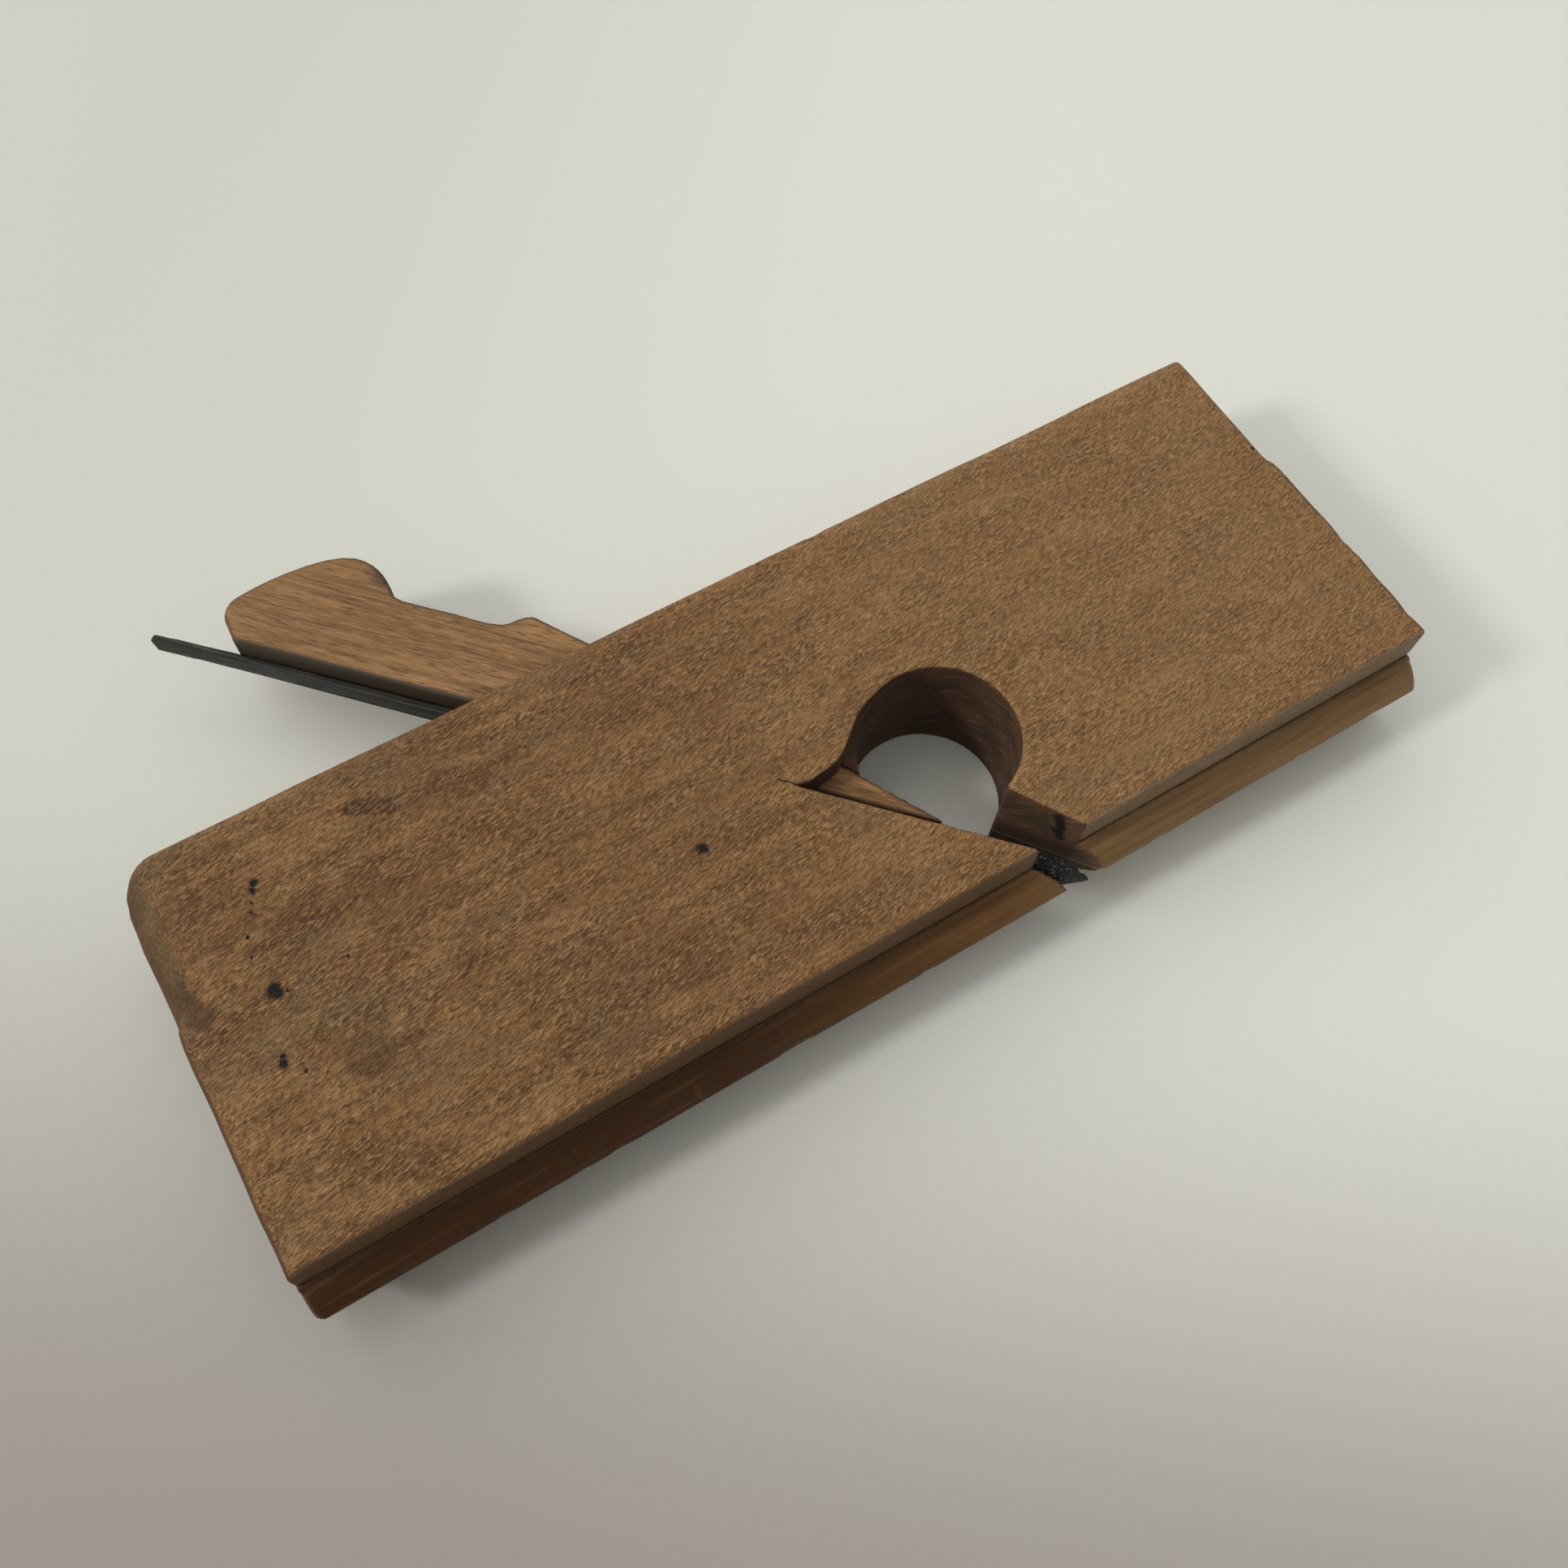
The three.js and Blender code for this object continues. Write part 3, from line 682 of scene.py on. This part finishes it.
    slanting = s.add("ShaderNodeMapping", {"Vector": swirl, "Rotation": (0.5, 0.3, 0.0)}).outputs[0]
    scratches = s.noise((8, 8, 0.55), detail=3.0, rough=0.65, at=slanting, shift=21)
    cut_tone = s.mix(s.between(s.noise((9, 9, 4), detail=4.0, shift=9), 0.4, 0.65), CUT_DARK, CUT_RED)
    cut_tone = s.mix(s.between(scratches, 0.55, 0.70, 0.0, 0.45), cut_tone, CUT_SCRATCH)
    front = s.math("MULTIPLY", s.between(x, 26.5, 28.5), s.between(y, -24, -26))
    line = s.math("ADD", z, s.math("MULTIPLY", y, 0.26))
    below = s.between(line, 2.0, 2.3, 1.0, 0.0)
    red_band = s.math("MULTIPLY", s.between(z, 15.4, 17.2, 1.0, 0.0), front)
    cut_tone = s.mix(s.math("MULTIPLY", red_band, 0.7), cut_tone, CUT_RED)
    # Painted shade: the deep part of the front wall, below the line, is made near-black.
    cut_tone = s.mix(s.math("MULTIPLY", s.math("MULTIPLY", below, front), 0.85), cut_tone, MARK_AND_SHADE_DARK)
    # A thin pale line along the front wall.
    pale_line = s.math("COMPARE", line, 2.3)
    pale_line.node.inputs[2].default_value = 0.2
    cut_tone = s.mix(s.math("MULTIPLY", s.math("MULTIPLY", pale_line, front), 0.8), cut_tone, CUT_SCRATCH)
    torn = s.add("ShaderNodeSeparateXYZ", {0: s.warped(1.6, 2.4)})
    # A near-black mark on the throat's front wall.
    wall_mark = s.math("MULTIPLY", s.near(torn, (1, 2), *WALL_DARK_MARK, 1.1), front)
    cut_tone = s.mix(wall_mark, cut_tone, INK_AND_SHADE)
    paler = s.mix(1.0, cut_tone, (1.9, 1.9, 1.9), "MULTIPLY")
    cut_tone = s.mix(s.math("MULTIPLY", front, 0.22), cut_tone, paler)
    colour = s.mix(s.between(cut, 0.35, 0.75), colour, cut_tone)

    grime = s.math("MULTIPLY", s.between(s.mask("edge"), 0.3, 0.95),
                   s.between(s.noise((7, 3, 3), detail=4.0, shift=17), 0.32, 0.58, 0.15, 0.7))
    colour = s.mix(grime, colour, MARK_AND_SHADE_DARK)
    # Painted shade in the quirks, the narrow grooves on each side of the ridge.
    colour = s.mix(s.between(s.mask("quirk"), 0.3, 0.8, 0.0, 0.85), colour, QUIRK_SHADE)

    ragged = s.add("ShaderNodeSeparateXYZ", {0: s.warped(0.8, 1.1)})
    blurred = s.add("ShaderNodeSeparateXYZ", {0: s.warped(3, 3.5)})
    face = s.between(facing.outputs[2], 0.5, 0.9)
    stain = s.math("MULTIPLY", s.near(blurred, (0, 1), *HEEL_STAIN, 2.8), 0.7)
    blotch = s.math("MULTIPLY", s.near(blurred, (0, 1), BLOTCH, BLOTCH, 5), 0.5)
    stain = s.math("MAXIMUM", stain, blotch)
    broken = s.between(pores, 0.42, 0.54, 0.2, 0.95)
    smudge = s.math("MULTIPLY", s.near(blurred, (0, 1), *SMUDGE, 1.7), broken)
    stain = s.math("MAXIMUM", stain, smudge)
    colour = s.mix(s.math("MULTIPLY", stain, face), colour, MARK_AND_SHADE_DARK)
    # The saw cut's thin line is painted shade, the dark inside of a cut too narrow for the mesh; the spots
    # are ink.
    ink_and_cut_shade = s.near(parts, (0, 1), on_bed(SAW_CUT_FROM, 0.2), on_bed(SAW_CUT_REACH, 0.1), 0.16)
    for spot_x, spot_y, radius in SPOTS:
        centre = (spot_x, spot_y)
        ink_and_cut_shade = s.math("MAXIMUM", ink_and_cut_shade, s.near(ragged, (0, 1), centre, centre, radius))
    colour = s.mix(s.math("MULTIPLY", ink_and_cut_shade, face), colour, INK_AND_SHADE)

    raised = s.math("MULTIPLY", s.math("MULTIPLY", flecks, worn), 1.4)
    relief = s.math("ADD", raised, s.math("MULTIPLY", grain, 0.3))
    relief = s.math("SUBTRACT", relief, s.math("MULTIPLY", pore, 0.35))
    relief = s.math("MULTIPLY", relief, s.between(ridge, 0, 1, 1.0, 0.25))
    satin = s.between(ridge, 0, 1, 0.58, 0.40)
    roughness = s.math("ADD", satin, s.math("MULTIPLY", s.math("SUBTRACT", dirt, 0.5), 0.25))
    return s.finish(colour, roughness, relief, 0.34, Specular_IOR_Level=0.2)


def wedge_wood():
    s = Shader("wedge_beech")
    along = s.turned(s.place, math.degrees(BED_ANGLE))
    patches = s.noise((36, 7, 9), detail=4.0, at=along)
    bands = s.noise((40, 1.6, 3), detail=3.0, at=along, shift=45)
    dashes = s.noise((3.6, 0.34, 0.42), detail=3.0, rough=0.6, at=along, shift=5)
    grain = s.noise((30, 0.5, 0.6), detail=4.0, at=along, shift=19)
    colour = s.mix(s.between(patches, 0.35, 0.65), WEDGE_MID, WEDGE_LIGHT)
    colour = s.mix(s.between(bands, 0.48, 0.66, 0.0, 0.55), colour, WEDGE_BAND)
    colour = s.mix(s.between(grain, 0.44, 0.7, 0.0, 0.5), colour, WEDGE_GRAIN)
    colour = s.mix(s.between(dashes, 0.53, 0.66, 0.0, 0.8), colour, WEDGE_PORE)
    colour = s.mix(s.between(dashes, 0.30, 0.44, 0.55, 0.0), colour, WEDGE_FLECK)
    colour = s.mix(s.between(s.mask("edge"), 0.35, 0.95, 0, 0.7), colour, WEDGE_EDGE)
    colour = s.mix(s.between(s.mask("head"), 0.4, 1, 0, 0.3), colour, WEDGE_HEAD)
    colour = s.mix(s.between(s.mask("notch"), 0.35, 0.9, 0, 0.8), colour, WEDGE_NOTCH)
    # The wedge's underside against the iron is painted dark: iron stain and painted shade.
    colour = s.mix(s.between(s.mask("under"), 0.15, 0.8, 0, 0.88), colour, WEDGE_UNDER_STAIN_AND_SHADE)
    height = s.math("ADD", s.math("MULTIPLY", dashes, -0.9), s.math("MULTIPLY", grain, 0.5))
    return s.finish(colour, 0.55, height, 0.14, Specular_IOR_Level=0.2)


def iron_steel():
    s = Shader("iron_steel")
    along = s.turned(s.place, math.degrees(BED_ANGLE))
    layers = s.noise((60, 0.35, 0.5), detail=4.0, at=along)
    pits = s.noise((0.6, 0.6, 0.6), detail=4.0, rough=0.7, shift=4)
    bloom = s.noise((9, 4, 4), detail=5.0, at=along, shift=40)
    colour = s.mix(s.between(layers, 0.38, 0.62), IRON_BLACK, IRON_GREY)
    colour = s.mix(s.between(bloom, 0.52, 0.72, 0, 0.4), colour, IRON_BROWN)
    ground = s.mask("ground")
    colour = s.mix(s.between(ground, 0.1, 0.8, 0, 0.7), colour, IRON_GROUND)
    speckle = s.math("MULTIPLY", s.between(pits, 0.58, 0.64), s.between(ground, 0.2, 0.9, 0.08, 0.9))
    colour = s.mix(speckle, colour, IRON_SPECKLE)
    height = s.math("ADD", s.math("MULTIPLY", pits, 0.8), s.math("MULTIPLY", layers, 0.5))
    roughness = s.between(bloom, 0.3, 0.7, 0.45, 0.62)
    return s.finish(colour, roughness, height, 0.14, Metallic=0.3, Specular_IOR_Level=0.3)


# ---- Stage: floor and lights ----

FLOOR_PALE = (0.665, 0.665, 0.612)
FLOOR_LEFT_SHADE = (0.535, 0.535, 0.490)
FLOOR_SHADED = (0.288, 0.260, 0.236)
OPEN_SIDE = Vector((0.15, 0.80, 0.58))         # the side of the room that the windows are on


def floor():
    s = Shader("floor")
    across, along, _ = s.add("ShaderNodeSeparateXYZ", {0: s.turned(s.place, 40)}).outputs
    # Painted shade on the floor: darker toward negative across, for light falling off, and much darker
    # toward negative along, a broad painted shadow.
    colour = s.mix(s.between(across, -200, 60), FLOOR_LEFT_SHADE, FLOOR_PALE)
    colour = s.mix(s.between(along, -160, -8, 1, 0), colour, FLOOR_SHADED)
    s.put(s.surface.inputs["Base Color"], colour)
    s.surface.inputs["Roughness"].default_value = 0.6
    s.surface.inputs["Specular IOR Level"].default_value = 0.25
    mesh = bpy.data.meshes.new("floor")
    mesh.from_pydata([(-3, -3, 0), (3, -3, 0), (3, 3, 0), (-3, 3, 0)], [], [(0, 1, 2, 3)])
    mesh.materials.append(s.material)
    ground = bpy.data.objects.new("floor", mesh)
    ground.location.z = -0.0001
    bpy.context.scene.collection.objects.link(ground)


def lamp(name, place, size, power, colour):
    data = bpy.data.lights.new(name, "AREA")
    data.size = size
    data.energy = power
    data.color = colour
    light = bpy.data.objects.new(name, data)
    light.location = place
    light.rotation_euler = Vector(place).to_track_quat("Z", "Y").to_euler()
    bpy.context.scene.collection.objects.link(light)


def room():
    """A world that is brighter on the windows' side."""
    world = bpy.data.worlds.new("room")
    world.use_nodes = True
    tree = world.node_tree
    way = tree.nodes.new("ShaderNodeTexCoord")
    facing = tree.nodes.new("ShaderNodeVectorMath")
    facing.operation = "DOT_PRODUCT"
    facing.inputs[1].default_value = OPEN_SIDE.normalized()
    tree.links.new(way.outputs["Generated"], facing.inputs[0])
    strength = tree.nodes.new("ShaderNodeMapRange")
    for name, value in (("From Min", -1), ("From Max", 1), ("To Min", 0.17), ("To Max", 0.98)):
        strength.inputs[name].default_value = value
    tree.links.new(facing.outputs["Value"], strength.inputs["Value"])
    background = tree.nodes["Background"]
    background.inputs["Color"].default_value = (0.96, 0.96, 0.93, 1)
    tree.links.new(strength.outputs["Result"], background.inputs["Strength"])
    bpy.context.scene.world = world


def lights():
    lamp("window", (-0.7, 1.9, 2.5), 3.4, 30, (1, 0.99, 0.96))
    lamp("low window", (-1.98, 0.46, 1.6), 0.42, 25, (1, 0.985, 0.95))
    room()


camera()
floor()
lights()
stock(stock_wood())
wedge(wedge_wood())
iron(iron_steel())
bpy.context.scene.view_settings.view_transform = "Standard"
